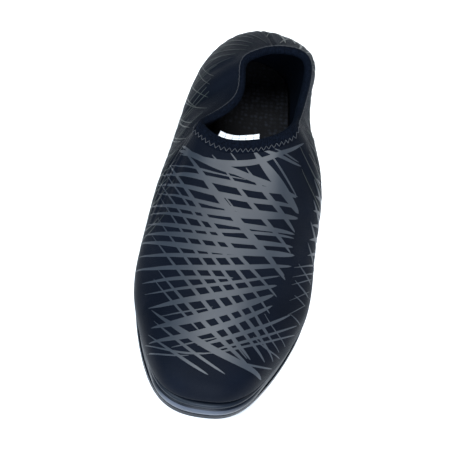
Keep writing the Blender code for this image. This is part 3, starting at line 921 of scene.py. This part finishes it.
def stroke_line(start, end, bow):
    """Points of one stroke on the flat map, bowed to one side by the given length, and their shares."""
    far = np.linalg.norm(end - start)
    count = max(int(far / STROKE_STEP), STROKE_LEAST_STEPS)
    share = np.linspace(0, 1, count + 1)[:, None]
    way = (end - start) / far
    side = np.array([-way[1], way[0]])
    return start + (end - start) * share + side * bow * 4 * share * (1 - share), share[:, 0]


def spindle(share, fullest):
    """Relative width along a stroke: a long point at its start and a blunter one at its end."""
    rise = np.sin(np.pi / 2 * np.clip(share / fullest, 0, 1))
    fall = np.sin(np.pi / 2 * np.clip((1 - share) / (1 - fullest), 0, 1))
    return rise**STROKE_START_POWER * fall**STROKE_END_POWER


class Film:
    """Thin raised strips laid on the upper, collected into one piece."""

    def __init__(self):
        self.points = []
        self.ways = []
        self.faces = []

    def strip(self, chart, line, widths, height):
        """Lays one strip along a line on the chart, and breaks it where it runs off the chart."""
        way = unit(np.gradient(line, axis=0))
        side = np.column_stack([-way[:, 1], way[:, 0]])
        before = None
        for point, across, width in zip(line, side, widths):
            half = max(width / 2, FILM_LEAST_HALF)
            found = [chart.find(point + across * half * edge) for edge in (-1, 0, 1)]
            if any(each is None for each in found):
                before = None
                continue
            tops = [place + way * height for place, way in found]
            feet = [place - way * FILM_SINK for place, way in (found[0], found[2])]
            ring = [feet[0], *tops, feet[1]]
            first = len(self.points)
            self.points.extend(ring)
            self.ways.extend(found[k][1] for k in (0, 0, 1, 2, 2))
            corners = range(len(ring))
            if before is None:
                self.faces.append([first + k for k in corners])
            else:
                for k in corners:
                    m = (k + 1) % len(ring)
                    self.faces.append([before + k, before + m, first + m, first + k])
            before = first
        if before is not None:
            self.faces.append([before + k for k in reversed(corners)])

    def stroke(self, chart, layer, start, end, bow, width, fullest):
        line, share = stroke_line(start, end, bow)
        self.strip(chart, line, width * spindle(share, fullest), FILM_HEIGHT + layer * FILM_STEP)

    def finish(self, name, material):
        """The strips as one piece, shaded like the cloth that they lie on."""
        made = add_piece(name, self.points, self.faces, [material])
        ways = np.array(self.ways) * TO_PART
        made.data.normals_split_custom_set_from_vertices(ways.tolist())


def vamp_chart(outer, normals):
    """The front of the upper laid flat: distance from the instep's ridge, and from the heel."""
    rows, count, _ = outer.shape
    ridge = outer[1:, count // 2]
    order = np.argsort(ridge[:, 1])
    along = ridge[:, 1][order]
    points = outer.reshape(-1, 3)
    side = points[:, 0] - np.interp(points[:, 1], along, ridge[:, 0][order])
    drop = np.interp(points[:, 1], along, ridge[:, 2][order]) - points[:, 2]
    across = np.sign(side) * np.hypot(side, drop)
    down = points[:, 1] + VAMP_BEND * LENGTH * (across / BALL_WIDTH) ** 2
    flat = np.column_stack([across, down]).reshape(rows, count, 2)
    keep = slice(*(int(share * count) for share in VAMP_ROUND))
    return Chart(flat[1:, keep], outer[1:, keep], normals[1:, keep])


def grid_normals(grid):
    """Outward unit vectors of a grid whose second direction is closed."""
    round_way = np.roll(grid, -1, 1) - np.roll(grid, 1, 1)
    return unit(np.cross(np.gradient(grid, axis=0), round_way))


def make_vamp_print(outer, material):
    chart = vamp_chart(outer, grid_normals(outer))
    film = Film()
    scale = np.array([BALL_WIDTH, LENGTH])
    for layer, table in enumerate((ACROSS, SLANTS, OUTER_SIDE)):
        for from_across, from_down, to_across, to_down, width, fullest, bow in table:
            start = np.array([from_across, from_down]) * scale
            end = np.array([to_across, to_down]) * scale
            film.stroke(chart, layer, start, end, bow * LENGTH, width * LENGTH, fullest)
    film.finish("vamp_strokes", material)


def quarter_chart(outer, normals, shares):
    """The back of the upper laid flat: the way round from the heel, and the height up the wall."""
    count = outer.shape[1]
    order = np.mod(np.arange(count) + count // 2, count)
    flat = np.stack(np.meshgrid(turns_of(count) - 0.5, shares[1:]), axis=2) * QUARTER_SCALE
    return Chart(flat, outer[1:, order], normals[1:, order])


def make_quarter_print(outer, shares, material):
    chart = quarter_chart(outer, grid_normals(outer), shares)
    film = Film()
    chance = np.random.default_rng(FAN_SEED)
    for layer, (first, last, count, lean, low, high, width) in enumerate(FANS):
        for place in np.linspace(first, last, count):
            shift, low_shift, high_shift, wide = chance.uniform(-1, 1, 4)
            turn = np.mod(place + FAN_SHIFT * shift + 0.5, 1) - 0.5
            start = np.array([turn, low + FAN_LOW_SHIFT * low_shift])
            end = start + (lean, high - low - FAN_CUT + FAN_HIGH_SHIFT * high_shift)
            ends = (start * QUARTER_SCALE, end * QUARTER_SCALE)
            widest = width * LENGTH * (1 + FAN_WIDTH_SHIFT * wide)
            film.stroke(chart, layer, *ends, 0.0, widest, FAN_FULLEST)
    film.finish("quarter_strokes", material)


def make_binding(elastic):
    """The folded strip over the collar's edge, with rounded folds."""
    turns = turns_of(ROUND)
    leg = leg_share(turns)
    rows = np.array([wall(turns, 1 - leg * part) for part in BINDING_LINES])
    ways = np.array([wall_outward(turns, 1 - leg * part) for part in BINDING_LINES])
    edge_way = unit(rows[0] - rows[len(rows) // 2])
    shown = binding_shown(turns)
    each = np.arange(ROUND)

    def laid(down, offset):
        """Ring at a share down the legs' full width, so far out from the wall's outer face."""
        place = np.clip(np.broadcast_to(down, ROUND), 0, 1) * (len(BINDING_LINES) - 1)
        low = np.minimum(place.astype(int), len(BINDING_LINES) - 2)
        part = (place - low)[:, None]
        lines = rows + ways * np.reshape(offset, (1, -1, 1))
        return lines[low, each] * (1 - part) + lines[low + 1, each] * part

    rings = []
    outside, inside, thick = GAP, -UPPER_WALL - GAP, BINDING_THICKNESS
    for share in OUTER_LEG:
        swell = 1 - OUTER_SWELL + OUTER_SWELL * math.sin(math.pi * share)
        plump = thick * swell * (1 - OUTER_THINNER * smooth_step(share, *LEG_THINS))
        rings.append(laid(shown * share, outside + plump))
    middle, reach = (outside + inside) / 2, (outside - inside) / 2 + FOLD_OUT * thick
    for angle in np.linspace(0, math.pi, FOLD_POINTS)[1:-1]:
        over = edge_way * (FOLD_OVER_GAP * GAP + FOLD_OVER * thick) * math.sin(angle)
        rings.append(laid(0.0, middle + reach * math.cos(angle)) + over)
    for share in INNER_LEG:
        plump = thick * (1 - INNER_THINNER * smooth_step(share, *LEG_THINS))
        rings.append(laid(share, inside - plump))
    for down, face in ((1.0, inside), (0.0, inside), (0.0, outside), (shown, outside)):
        rings.append(laid(down, face))
    grid = np.array(rings)
    faces = loft_faces(len(grid), ROUND, closed_rows=True)[:, ::-1].tolist()
    uvs = loft_uvs(grid)[:, ::-1]
    made = add_piece("edge_binding", grid, faces, [elastic], uvs)
    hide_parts("collar_binding")


def tube(line, radius):
    """Points and faces of a closed round thread along a closed line."""
    way = unit(np.roll(line, -1, 0) - np.roll(line, 1, 0))
    side = unit(np.cross(way, (0.0, 0.0, 1.0)))
    up = np.cross(side, way)
    angles = turns_of(THREAD_SIDES) * 2 * math.pi
    rings = [line + (side * math.cos(a) + up * math.sin(a)) * radius for a in angles]
    return np.concatenate(rings), loft_faces(THREAD_SIDES, len(line), closed_rows=True)


def make_stitches(thread):
    """A zigzag seam near the binding's outer edge."""
    turns = np.linspace(0, 1, RIM_POINTS)
    far = lengths_to(np.linalg.norm(np.diff(wall(turns, 1), axis=0), axis=1))
    count = int(far[-1] / ZIGZAG_PITCH)
    share = turns_of(count * 2 * ZIGZAG_STEPS)
    places = np.interp(share * far[-1], far, turns)
    wave = np.abs(np.mod(share * count, 1) * 2 - 1)
    down = ZIGZAG_FROM + (ZIGZAG_TO - ZIGZAG_FROM) * wave
    leg = leg_share(places) * binding_shown(places)
    face = wall(places, 1 - leg * down)
    outward = wall_outward(places, 1 - leg * down)
    arch = THREAD_ARCH * np.sin(np.pi * wave) + 1 - THREAD_ARCH
    line = face + outward * (GAP + BINDING_THICKNESS * (THREAD_LOW + THREAD_RISE * arch))[:, None]
    points, faces = tube(line, THREAD_RADIUS)
    add_piece("binding_stitches", points, faces.tolist(), [thread])


def make_cup(rubber, bumper, bead):
    """The cup's wall and floor, with the bulge and the bead of the wall in rubbers of their own, which
    carry painted highlights towards the toe.
    """
    turns = turns_of(ROUND)
    loop = outline(turns, 0)
    at_toe = smooth_step(loop[:, 1] / LENGTH, *BUMPER_SWELLS)
    foot = along_curve("under", loop[:, 1]) + TREAD_THICKNESS + GAP
    edge = along_curve("edge", loop[:, 1])
    under = outline(turns, 2 * CUP_WALL)
    rows = [lifted(under, along_curve("under", under[:, 1]) + TREAD_THICKNESS + GAP)]
    for up, toe_out, side_out in WALL_PROFILE:
        out = (toe_out * at_toe + side_out * (1 - at_toe)) * CUP_WALL
        rows.append(lifted(outline(turns, -out), foot + (edge - foot) * up))
    inner = outline(turns, CUP_WALL)
    rows.append(lifted(outline(turns, CROWN_IN * CUP_WALL), edge + CROWN_UP))
    rows.append(lifted(inner, edge - CROWN_INNER_DOWN))
    rows.append(lifted(inner, along_curve("floor", inner[:, 1])))
    grid = np.array(rows)
    faces = capped_faces(grid)
    # Ring 0 lies under the sole, so ring n + 1 has profile row n
    up_of_face = np.full(len(faces), -1.0)
    ups = column(WALL_PROFILE, WALL_COLUMNS, "up")
    up_of_face[ROUND : ROUND * (len(ups) + 1)] = np.repeat(ups, ROUND)
    highlight_patches = np.zeros(len(faces), np.int32)
    for index, (low, high) in enumerate(HIGHLIGHT_BANDS, 1):
        highlight_patches[(up_of_face >= low) & (up_of_face < high)] = index
    # The bulge and the bead get rubbers with painted highlights at the toe
    rubbers = [rubber, bumper, bead]
    made = add_piece("rubber_cup", grid, faces, rubbers, face_materials=highlight_patches)
    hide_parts("cup_sole")


def deck(row):
    """Quads that close a ring straight across, from its one side to the other."""
    start = row * ROUND
    half = ROUND // 2
    faces = [[start, start + 1, start + ROUND - 1]]
    for i in range(1, half - 1):
        faces.append([start + i, start + i + 1, start + ROUND - i - 1, start + ROUND - i])
    faces.append([start + half - 1, start + half, start + half + 1])
    return faces


def capped_faces(grid):
    """Faces of a loft with both of its ends closed."""
    end = [face[::-1] for face in deck(len(grid) - 1)]
    faces = loft_faces(len(grid), ROUND).tolist() + deck(0) + end
    return [face[::-1] for face in faces]


def make_insole(foam):
    """The insole with a soft edge and a shallow dish."""
    turns = turns_of(ROUND)
    low, high = (share * LENGTH for share in INSOLE_MIDDLE)
    centre = np.column_stack([np.zeros(ROUND), np.clip(outline(turns, 0)[:, 1], low, high)])
    edge = outline(turns, CUP_WALL + 2 * GAP + UPPER_WALL)
    rows = [lifted(edge, along_curve("floor", edge[:, 1]) + GAP)]
    for share in INSOLE_RINGS:
        loop = edge * (1 - share) + centre * share
        round_edge = math.sqrt(1 - (1 - min(1, share / INSOLE_ROUNDED)) ** 2)
        top = INSOLE_THICKNESS - INSOLE_EDGE * (1 - round_edge)
        dish = INSOLE_DISH * INSOLE_THICKNESS * smooth_step(share, 0.0, INSOLE_DISHED)
        rows.append(lifted(loop, along_curve("floor", loop[:, 1]) + GAP + top - dish))
    grid = np.array(rows)
    made = add_piece("mesh_insole", grid, capped_faces(grid), [foam])
    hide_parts("insole")


def make_label(cloth):
    """The strip of tape under the binding, which shows past its edge and droops a little."""
    ends = wall(np.array([LABEL_PLACE - SMALL, LABEL_PLACE + SMALL]), 1)
    half = LABEL_WIDTH / np.linalg.norm(ends[1] - ends[0]) * SMALL
    turns = np.linspace(LABEL_PLACE - half, LABEL_PLACE + half, LABEL_LINES)
    outward = wall_outward(turns, 1)
    edge_way = unit(wall(turns, 1) - wall(turns, 1 - SMALL))
    start = wall(turns, 1) - outward * (UPPER_WALL + 2 * GAP + BINDING_THICKNESS)
    droop = unit(edge_way - outward * LABEL_DROOP)
    rows = []
    for share in np.linspace(-1, 1, LABEL_STEPS):
        way = edge_way * LABEL_TUCKED if share < 0 else droop * LABEL_SHOWN
        rows.append(start + way * share)
    upper = np.array(rows)
    lower = upper - outward * LABEL_THICKNESS
    grid = np.concatenate([upper, lower[::-1]])
    count = LABEL_LINES
    quads = loft_faces(len(grid), count, closed_rows=True, closed_rings=False)
    faces = quads[:, [0, 3, 2, 1]].tolist()
    for c in (0, count - 1):
        for r in range(LABEL_STEPS - 1):
            s = len(grid) - 1 - r
            quad = [r * count + c, (r + 1) * count + c, (s - 1) * count + c, s * count + c]
            faces.append(quad if c else quad[::-1])
    flat = np.indices((len(grid), count)).reshape(2, -1)[::-1].T
    flat = flat * (LABEL_WIDTH / (count - 1), LABEL_SHOWN / (LABEL_STEPS // 2))
    uvs = np.concatenate([flat[face] for face in faces])
    made = add_piece("tape_label", grid, faces, [cloth], uvs)
    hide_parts("size_label")


def make_camera():
    data = bpy.data.cameras.new("camera")
    data.lens = CAMERA_LENS
    data.clip_start, data.clip_end = CAMERA_CLIP
    camera = link("camera", data)
    camera.location = CAMERA_PLACE
    look = Vector(CAMERA_TARGET) - Vector(CAMERA_PLACE)
    turn = look.to_track_quat("-Z", "Y").to_matrix().to_4x4()
    roll = turn.Rotation(math.radians(CAMERA_ROLL), 4, "Z")
    camera.rotation_euler = (turn @ roll).to_euler()
    bpy.context.scene.camera = camera


def make_lights():
    for name, place, size, power, color in LIGHTS:
        data = bpy.data.lights.new(name, "AREA")
        data.shape = "DISK"
        data.size = size
        data.energy = power
        data.color = color
        light = link(name, data)
        light.location = place
        look = Vector(LIGHT_TARGET) - Vector(place)
        light.rotation_euler = look.to_track_quat("-Z", "Y").to_euler()
    world = bpy.data.worlds.new("studio")
    world.use_nodes = True
    background = world.node_tree.nodes["Background"]
    background.inputs["Color"].default_value = WORLD_COLOR
    background.inputs["Strength"].default_value = WORLD_STRENGTH
    bpy.context.scene.world = world
    bpy.context.scene.view_settings.view_transform = "Standard"


def make_floor():
    mesh = bpy.data.meshes.new("floor")
    corners = [(-1, -1, 0), (1, -1, 0), (1, 1, 0), (-1, 1, 0)]
    mesh.from_pydata([Vector(corner) * FLOOR_HALF for corner in corners], [], [(0, 1, 2, 3)])
    mesh.materials.append(Shader("floor", FLOOR, roughness=0.85).material)
    floor = link("floor", mesh)
    floor.location.z = -FLOOR_DROP


def main():
    knit, lining = make_knit(), make_lining()
    strokes = make_print("stroke_print", PRINT, PRINT_DARK)
    quarter_strokes = make_print("quarter_print", QUARTER_PRINT, QUARTER_PRINT_DARK)
    elastic, thread = make_elastic(), make_thread()
    rubber = make_rubber("sole_rubber", RUBBER_DARK)
    outer, inner, shares = upper_grids()
    make_upper(outer, inner, knit, lining)
    make_vamp_print(outer, strokes)
    make_quarter_print(outer, shares, quarter_strokes)
    make_binding(elastic)
    make_stitches(thread)
    # The bumper's bulge and bead take painted highlights at the toe
    make_cup(rubber, make_rubber("bumper_highlight_rubber", BUMPER_HIGHLIGHT), make_rubber("bead_highlight_rubber", BEAD_HIGHLIGHT))
    make_insole(make_foam())
    make_label(make_label_cloth())
    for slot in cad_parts["tread"].material_slots:
        slot.material = rubber
    make_camera()
    make_lights()
    make_floor()


main()
